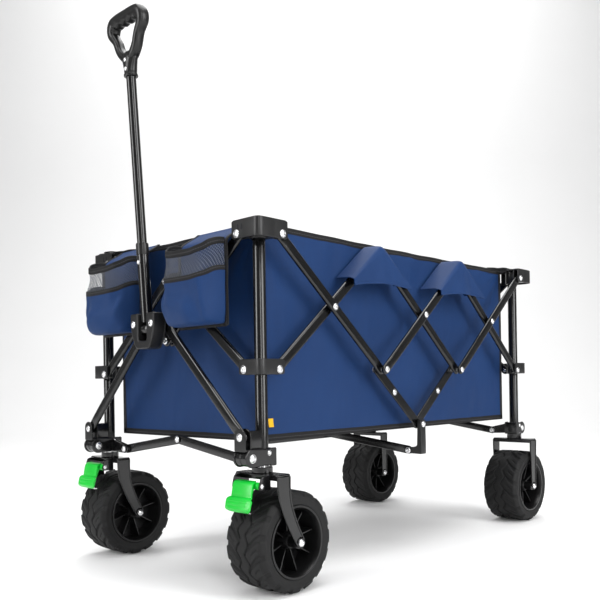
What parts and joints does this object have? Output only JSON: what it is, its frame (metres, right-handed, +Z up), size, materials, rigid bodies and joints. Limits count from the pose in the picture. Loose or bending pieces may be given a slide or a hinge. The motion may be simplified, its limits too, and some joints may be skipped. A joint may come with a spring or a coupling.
{
  "type": "folding camp wagon",
  "caption": "Folding wagon with a fabric tub on a black scissor frame, wide wheels, swivelling braked front casters and a telescoping pull handle.",
  "frame": {"origin": "on the ground under the middle of the whole wagon's outline", "axes": "+Z up, +Y towards the rear (the pull handle is at the -Y end), +X to the right side seen from the rear"},
  "size_m": [0.587, 1.1004, 1.0437],
  "materials": {
    "frame_steel": "gloss black powder coat",
    "fitting_plastic": "fine grained dark grey",
    "grip_plastic": "satin black",
    "tyre_rubber": "matte black rubber",
    "rim_plastic": "satin black",
    "brake_green": "bright green",
    "tub_cloth": "navy woven polyester",
    "board": "black cloth over board"
  },
  "bodies": {
    "front_right_post": {"post_fr": "frame_steel", "top_bracket_fr": "fitting_plastic", "tub": "tub_cloth", "floor_board": "board", "cup_pocket_r": "tub_cloth"},
    "front_left_post": {"post_fl": "frame_steel", "top_bracket_fl": "fitting_plastic", "cup_pocket_l": "tub_cloth"},
    "rear_right_post": {"post_rr": "frame_steel", "top_bracket_rr": "fitting_plastic"},
    "rear_left_post": {"post_rl": "frame_steel", "top_bracket_rl": "fitting_plastic"},
    "collar_fr": {"collar_fr": "fitting_plastic"},
    "collar_fl": {"collar_fl": "fitting_plastic"},
    "collar_rr": {"collar_rr": "fitting_plastic"},
    "collar_rl": {"collar_rl": "fitting_plastic"},
    "side_down_arm_r1": {"side_down_arm_r1": "frame_steel"},
    "side_down_arm_r2": {"side_down_arm_r2": "frame_steel"},
    "side_down_arm_r3": {"side_down_arm_r3": "frame_steel"},
    "side_up_arm_r1": {"side_up_arm_r1": "frame_steel"},
    "side_up_arm_r2": {"side_up_arm_r2": "frame_steel"},
    "side_up_arm_r3": {"side_up_arm_r3": "frame_steel"},
    "lower_link_r1": {"lower_link_r1": "frame_steel"},
    "lower_link_r2": {"lower_link_r2": "frame_steel"},
    "centre_bracket_r": {"centre_bracket_r": "fitting_plastic"},
    "face_down_arm_fr": {"face_down_arm_fr": "frame_steel"},
    "face_down_arm_fl": {"face_down_arm_fl": "frame_steel"},
    "face_up_arm_fr": {"face_up_arm_fr": "frame_steel"},
    "face_up_arm_fl": {"face_up_arm_fl": "frame_steel"},
    "side_down_arm_l1": {"side_down_arm_l1": "frame_steel"},
    "side_down_arm_l2": {"side_down_arm_l2": "frame_steel"},
    "side_down_arm_l3": {"side_down_arm_l3": "frame_steel"},
    "side_up_arm_l1": {"side_up_arm_l1": "frame_steel"},
    "side_up_arm_l2": {"side_up_arm_l2": "frame_steel"},
    "side_up_arm_l3": {"side_up_arm_l3": "frame_steel"},
    "lower_link_l1": {"lower_link_l1": "frame_steel"},
    "lower_link_l2": {"lower_link_l2": "frame_steel"},
    "centre_bracket_l": {"centre_bracket_l": "fitting_plastic"},
    "face_down_arm_rr": {"face_down_arm_rr": "frame_steel"},
    "face_down_arm_rl": {"face_down_arm_rl": "frame_steel"},
    "face_up_arm_rr": {"face_up_arm_rr": "frame_steel"},
    "face_up_arm_rl": {"face_up_arm_rl": "frame_steel"},
    "handle_strut_r": {"handle_strut_r": "frame_steel"},
    "handle_strut_l": {"handle_strut_l": "frame_steel"},
    "handle_bracket": {"handle_bracket": "fitting_plastic"},
    "handle_lower_tube": {"handle_lower_tube": "frame_steel"},
    "handle_upper": {"handle_upper_tube": "frame_steel", "handle_grip": "grip_plastic"},
    "fork_r": {"fork_r": "frame_steel"},
    "brake_pedal_r": {"brake_pedal_r": "brake_green"},
    "wheel_fr": {"tyre_fr": "tyre_rubber", "rim_fr": "rim_plastic"},
    "wheel_rr": {"tyre_rr": "tyre_rubber", "rim_rr": "rim_plastic"},
    "fork_l": {"fork_l": "frame_steel"},
    "brake_pedal_l": {"brake_pedal_l": "brake_green"},
    "wheel_fl": {"tyre_fl": "tyre_rubber", "rim_fl": "rim_plastic"},
    "wheel_rl": {"tyre_rl": "tyre_rubber", "rim_rl": "rim_plastic"}
  },
  "joints": [
    {"name": "fold", "type": "hinge", "parent": "front_right_post", "child": "side_down_arm_r1", "pos_m": [0.255, -0.40778, 0.614], "axis": [-1, 0, 0], "range_deg": [0, 38], "deforming": ["tub", "floor_board", "cup_pocket_r", "cup_pocket_l"]},
    {"name": "pivot_side_up_arm_r1", "type": "hinge", "parent": "side_down_arm_r1", "child": "side_up_arm_r1", "pos_m": [0.243, -0.26778, 0.4985], "axis": [1, 0, 0], "range_deg": [-0.5, 76.5]},
    {"name": "pivot_side_up_arm_r2", "type": "hinge", "parent": "side_down_arm_r1", "child": "side_up_arm_r2", "pos_m": [0.267, -0.12778, 0.383], "axis": [1, 0, 0], "range_deg": [-0.5, 76.5]},
    {"name": "pivot_side_down_arm_r2", "type": "hinge", "parent": "side_up_arm_r2", "child": "side_down_arm_r2", "pos_m": [0.255, 0.01222, 0.4985], "axis": [1, 0, 0], "range_deg": [-76.5, 0.5]},
    {"name": "pivot_side_up_arm_r3", "type": "hinge", "parent": "side_down_arm_r2", "child": "side_up_arm_r3", "pos_m": [0.267, 0.15222, 0.383], "axis": [1, 0, 0], "range_deg": [-0.5, 76.5]},
    {"name": "pivot_side_down_arm_r3", "type": "hinge", "parent": "side_up_arm_r3", "child": "side_down_arm_r3", "pos_m": [0.255, 0.29222, 0.4985], "axis": [1, 0, 0], "range_deg": [-76.5, 0.5]},
    {"name": "pivot_rear_right_post", "type": "hinge", "parent": "side_up_arm_r3", "child": "rear_right_post", "pos_m": [0.267, 0.43222, 0.614], "axis": [1, 0, 0], "range_deg": [-38.5, 0.5]},
    {"name": "pivot_collar_fr", "type": "hinge", "parent": "side_up_arm_r1", "child": "collar_fr", "pos_m": [0.243, -0.40778, 0.383], "axis": [1, 0, 0], "range_deg": [-38.5, 0.5]},
    {"name": "pivot_collar_rr", "type": "hinge", "parent": "side_down_arm_r3", "child": "collar_rr", "pos_m": [0.255, 0.43222, 0.383], "axis": [1, 0, 0], "range_deg": [-0.5, 38.5]},
    {"name": "pivot_lower_link_r1", "type": "hinge", "parent": "side_up_arm_r2", "child": "lower_link_r1", "pos_m": [0.243, -0.12778, 0.383], "axis": [1, 0, 0], "range_deg": [-76.5, 0.5]},
    {"name": "pivot_lower_link_r2", "type": "hinge", "parent": "side_down_arm_r2", "child": "lower_link_r2", "pos_m": [0.243, 0.15222, 0.383], "axis": [1, 0, 0], "range_deg": [-0.5, 76.5]},
    {"name": "pivot_centre_bracket_r", "type": "hinge", "parent": "lower_link_r1", "child": "centre_bracket_r", "pos_m": [0.255, 0.01222, 0.2675], "axis": [1, 0, 0], "range_deg": [-0.5, 38.5]},
    {"name": "pivot_face_down_arm_fr", "type": "hinge", "parent": "front_right_post", "child": "face_down_arm_fr", "pos_m": [0.209, -0.45778, 0.614], "axis": [0, 1, 0], "range_deg": [-38.5, 0.5]},
    {"name": "pivot_face_up_arm_fr", "type": "hinge", "parent": "face_down_arm_fr", "child": "face_up_arm_fr", "pos_m": [0.069, -0.44578, 0.4985], "axis": [0, 1, 0], "range_deg": [-0.5, 76.5]},
    {"name": "pivot_face_down_arm_fl", "type": "hinge", "parent": "face_down_arm_fr", "child": "face_down_arm_fl", "pos_m": [0, -0.44578, 0.44157], "axis": [0, 1, 0], "range_deg": [-0.5, 76.5]},
    {"name": "pivot_front_left_post", "type": "hinge", "parent": "face_down_arm_fl", "child": "front_left_post", "pos_m": [-0.209, -0.44578, 0.614], "axis": [0, 1, 0], "range_deg": [-38.5, 0.5]},
    {"name": "pivot_face_up_arm_fl", "type": "hinge", "parent": "face_down_arm_fl", "child": "face_up_arm_fl", "pos_m": [-0.069, -0.45778, 0.4985], "axis": [0, 1, 0], "range_deg": [-76.5, 0.5]},
    {"name": "pivot_side_down_arm_l1", "type": "hinge", "parent": "front_left_post", "child": "side_down_arm_l1", "pos_m": [-0.255, -0.40778, 0.614], "axis": [1, 0, 0], "range_deg": [-38.5, 0.5]},
    {"name": "pivot_side_up_arm_l1", "type": "hinge", "parent": "side_down_arm_l1", "child": "side_up_arm_l1", "pos_m": [-0.243, -0.26778, 0.4985], "axis": [1, 0, 0], "range_deg": [-0.5, 76.5]},
    {"name": "pivot_side_up_arm_l2", "type": "hinge", "parent": "side_down_arm_l1", "child": "side_up_arm_l2", "pos_m": [-0.267, -0.12778, 0.383], "axis": [1, 0, 0], "range_deg": [-0.5, 76.5]},
    {"name": "pivot_side_down_arm_l2", "type": "hinge", "parent": "side_up_arm_l2", "child": "side_down_arm_l2", "pos_m": [-0.255, 0.01222, 0.4985], "axis": [1, 0, 0], "range_deg": [-76.5, 0.5]},
    {"name": "pivot_side_up_arm_l3", "type": "hinge", "parent": "side_down_arm_l2", "child": "side_up_arm_l3", "pos_m": [-0.267, 0.15222, 0.383], "axis": [1, 0, 0], "range_deg": [-0.5, 76.5]},
    {"name": "pivot_side_down_arm_l3", "type": "hinge", "parent": "side_up_arm_l3", "child": "side_down_arm_l3", "pos_m": [-0.255, 0.29222, 0.4985], "axis": [1, 0, 0], "range_deg": [-76.5, 0.5]},
    {"name": "pivot_rear_left_post", "type": "hinge", "parent": "side_up_arm_l3", "child": "rear_left_post", "pos_m": [-0.267, 0.43222, 0.614], "axis": [1, 0, 0], "range_deg": [-38.5, 0.5]},
    {"name": "pivot_collar_fl", "type": "hinge", "parent": "side_up_arm_l1", "child": "collar_fl", "pos_m": [-0.243, -0.40778, 0.383], "axis": [1, 0, 0], "range_deg": [-38.5, 0.5]},
    {"name": "pivot_collar_rl", "type": "hinge", "parent": "side_down_arm_l3", "child": "collar_rl", "pos_m": [-0.255, 0.43222, 0.383], "axis": [1, 0, 0], "range_deg": [-0.5, 38.5]},
    {"name": "pivot_lower_link_l1", "type": "hinge", "parent": "side_up_arm_l2", "child": "lower_link_l1", "pos_m": [-0.243, -0.12778, 0.383], "axis": [1, 0, 0], "range_deg": [-76.5, 0.5]},
    {"name": "pivot_lower_link_l2", "type": "hinge", "parent": "side_down_arm_l2", "child": "lower_link_l2", "pos_m": [-0.243, 0.15222, 0.383], "axis": [1, 0, 0], "range_deg": [-0.5, 76.5]},
    {"name": "pivot_centre_bracket_l", "type": "hinge", "parent": "lower_link_l1", "child": "centre_bracket_l", "pos_m": [-0.255, 0.01222, 0.2675], "axis": [1, 0, 0], "range_deg": [-0.5, 38.5]},
    {"name": "pivot_face_down_arm_rr", "type": "hinge", "parent": "rear_right_post", "child": "face_down_arm_rr", "pos_m": [0.209, 0.48222, 0.614], "axis": [0, 1, 0], "range_deg": [-38.5, 0.5]},
    {"name": "pivot_face_up_arm_rr", "type": "hinge", "parent": "face_down_arm_rr", "child": "face_up_arm_rr", "pos_m": [0.069, 0.47022, 0.4985], "axis": [0, 1, 0], "range_deg": [-0.5, 76.5]},
    {"name": "pivot_face_down_arm_rl", "type": "hinge", "parent": "rear_left_post", "child": "face_down_arm_rl", "pos_m": [-0.209, 0.47022, 0.614], "axis": [0, 1, 0], "range_deg": [-0.5, 38.5]},
    {"name": "pivot_face_up_arm_rl", "type": "hinge", "parent": "face_down_arm_rl", "child": "face_up_arm_rl", "pos_m": [-0.069, 0.48222, 0.4985], "axis": [0, 1, 0], "range_deg": [-76.5, 0.5]},
    {"name": "pivot_handle_strut_r", "type": "hinge", "parent": "front_right_post", "child": "handle_strut_r", "pos_m": [0.235, -0.48178, 0.27], "axis": [0, 1, 0], "range_deg": [-0.5, 34.7]},
    {"name": "pivot_handle_bracket", "type": "hinge", "parent": "handle_strut_r", "child": "handle_bracket", "pos_m": [0.0275, -0.48178, 0.472], "axis": [0, 1, 0], "range_deg": [-34.7, 0.5]},
    {"name": "pivot_handle_strut_l", "type": "hinge", "parent": "handle_bracket", "child": "handle_strut_l", "pos_m": [-0.0275, -0.48178, 0.472], "axis": [0, 1, 0], "range_deg": [-34.7, 0.5]},
    {"name": "handle_pitch", "type": "hinge", "parent": "handle_bracket", "child": "handle_lower_tube", "pos_m": [0, -0.50178, 0.463], "axis": [1, 0, 0], "range_deg": [-3.5, 86.5]},
    {"name": "handle_extend", "type": "slide", "parent": "handle_lower_tube", "child": "handle_upper", "axis": [0, -0.061, 0.9981], "range_m": [-0.1, 0]},
    {"name": "caster_r", "type": "hinge", "parent": "front_right_post", "child": "fork_r", "pos_m": [0.235, -0.43778, 0.224], "axis": [0, 0, 1], "continuous": true},
    {"name": "wheel_fr_spin", "type": "hinge", "parent": "fork_r", "child": "wheel_fr", "pos_m": [0.235, -0.39978, 0.088], "axis": [1, 0, 0], "continuous": true},
    {"name": "wheel_rr_spin", "type": "hinge", "parent": "rear_right_post", "child": "wheel_rr", "pos_m": [0.235, 0.46222, 0.088], "axis": [1, 0, 0], "continuous": true},
    {"name": "brake_r", "type": "hinge", "parent": "fork_r", "child": "brake_pedal_r", "pos_m": [0.235, -0.47178, 0.19], "axis": [1, 0, 0], "range_deg": [0, 16]},
    {"name": "caster_l", "type": "hinge", "parent": "front_left_post", "child": "fork_l", "pos_m": [-0.235, -0.43778, 0.224], "axis": [0, 0, 1], "continuous": true},
    {"name": "wheel_fl_spin", "type": "hinge", "parent": "fork_l", "child": "wheel_fl", "pos_m": [-0.235, -0.39978, 0.088], "axis": [1, 0, 0], "continuous": true},
    {"name": "wheel_rl_spin", "type": "hinge", "parent": "rear_left_post", "child": "wheel_rl", "pos_m": [-0.235, 0.46222, 0.088], "axis": [1, 0, 0], "continuous": true},
    {"name": "brake_l", "type": "hinge", "parent": "fork_l", "child": "brake_pedal_l", "pos_m": [-0.235, -0.47178, 0.19], "axis": [1, 0, 0], "range_deg": [0, 16]}
  ],
  "couplings": [
    {"joint": "pivot_side_up_arm_r1", "follows": "fold", "ratio": 2},
    {"joint": "pivot_side_up_arm_r2", "follows": "fold", "ratio": 2},
    {"joint": "pivot_side_down_arm_r2", "follows": "fold", "ratio": -2},
    {"joint": "pivot_side_up_arm_r3", "follows": "fold", "ratio": 2},
    {"joint": "pivot_side_down_arm_r3", "follows": "fold", "ratio": -2},
    {"joint": "pivot_rear_right_post", "follows": "fold", "ratio": -1},
    {"joint": "pivot_collar_fr", "follows": "fold", "ratio": -1},
    {"joint": "pivot_collar_rr", "follows": "fold", "ratio": 1},
    {"joint": "pivot_lower_link_r1", "follows": "fold", "ratio": -2},
    {"joint": "pivot_lower_link_r2", "follows": "fold", "ratio": 2},
    {"joint": "pivot_centre_bracket_r", "follows": "fold", "ratio": 1},
    {"joint": "pivot_face_down_arm_fr", "follows": "fold", "ratio": -1},
    {"joint": "pivot_face_up_arm_fr", "follows": "fold", "ratio": 2},
    {"joint": "pivot_face_down_arm_fl", "follows": "fold", "ratio": 2},
    {"joint": "pivot_front_left_post", "follows": "fold", "ratio": -1},
    {"joint": "pivot_face_up_arm_fl", "follows": "fold", "ratio": -2},
    {"joint": "pivot_side_down_arm_l1", "follows": "fold", "ratio": -1},
    {"joint": "pivot_side_up_arm_l1", "follows": "fold", "ratio": 2},
    {"joint": "pivot_side_up_arm_l2", "follows": "fold", "ratio": 2},
    {"joint": "pivot_side_down_arm_l2", "follows": "fold", "ratio": -2},
    {"joint": "pivot_side_up_arm_l3", "follows": "fold", "ratio": 2},
    {"joint": "pivot_side_down_arm_l3", "follows": "fold", "ratio": -2},
    {"joint": "pivot_rear_left_post", "follows": "fold", "ratio": -1},
    {"joint": "pivot_collar_fl", "follows": "fold", "ratio": -1},
    {"joint": "pivot_collar_rl", "follows": "fold", "ratio": 1},
    {"joint": "pivot_lower_link_l1", "follows": "fold", "ratio": -2},
    {"joint": "pivot_lower_link_l2", "follows": "fold", "ratio": 2},
    {"joint": "pivot_centre_bracket_l", "follows": "fold", "ratio": 1},
    {"joint": "pivot_face_down_arm_rr", "follows": "fold", "ratio": -1},
    {"joint": "pivot_face_up_arm_rr", "follows": "fold", "ratio": 2},
    {"joint": "pivot_face_down_arm_rl", "follows": "fold", "ratio": 1},
    {"joint": "pivot_face_up_arm_rl", "follows": "fold", "ratio": -2},
    {"joint": "pivot_handle_strut_r", "follows": "fold", "ratio": 0.9},
    {"joint": "pivot_handle_bracket", "follows": "fold", "ratio": -0.9},
    {"joint": "pivot_handle_strut_l", "follows": "fold", "ratio": -0.9}
  ]
}
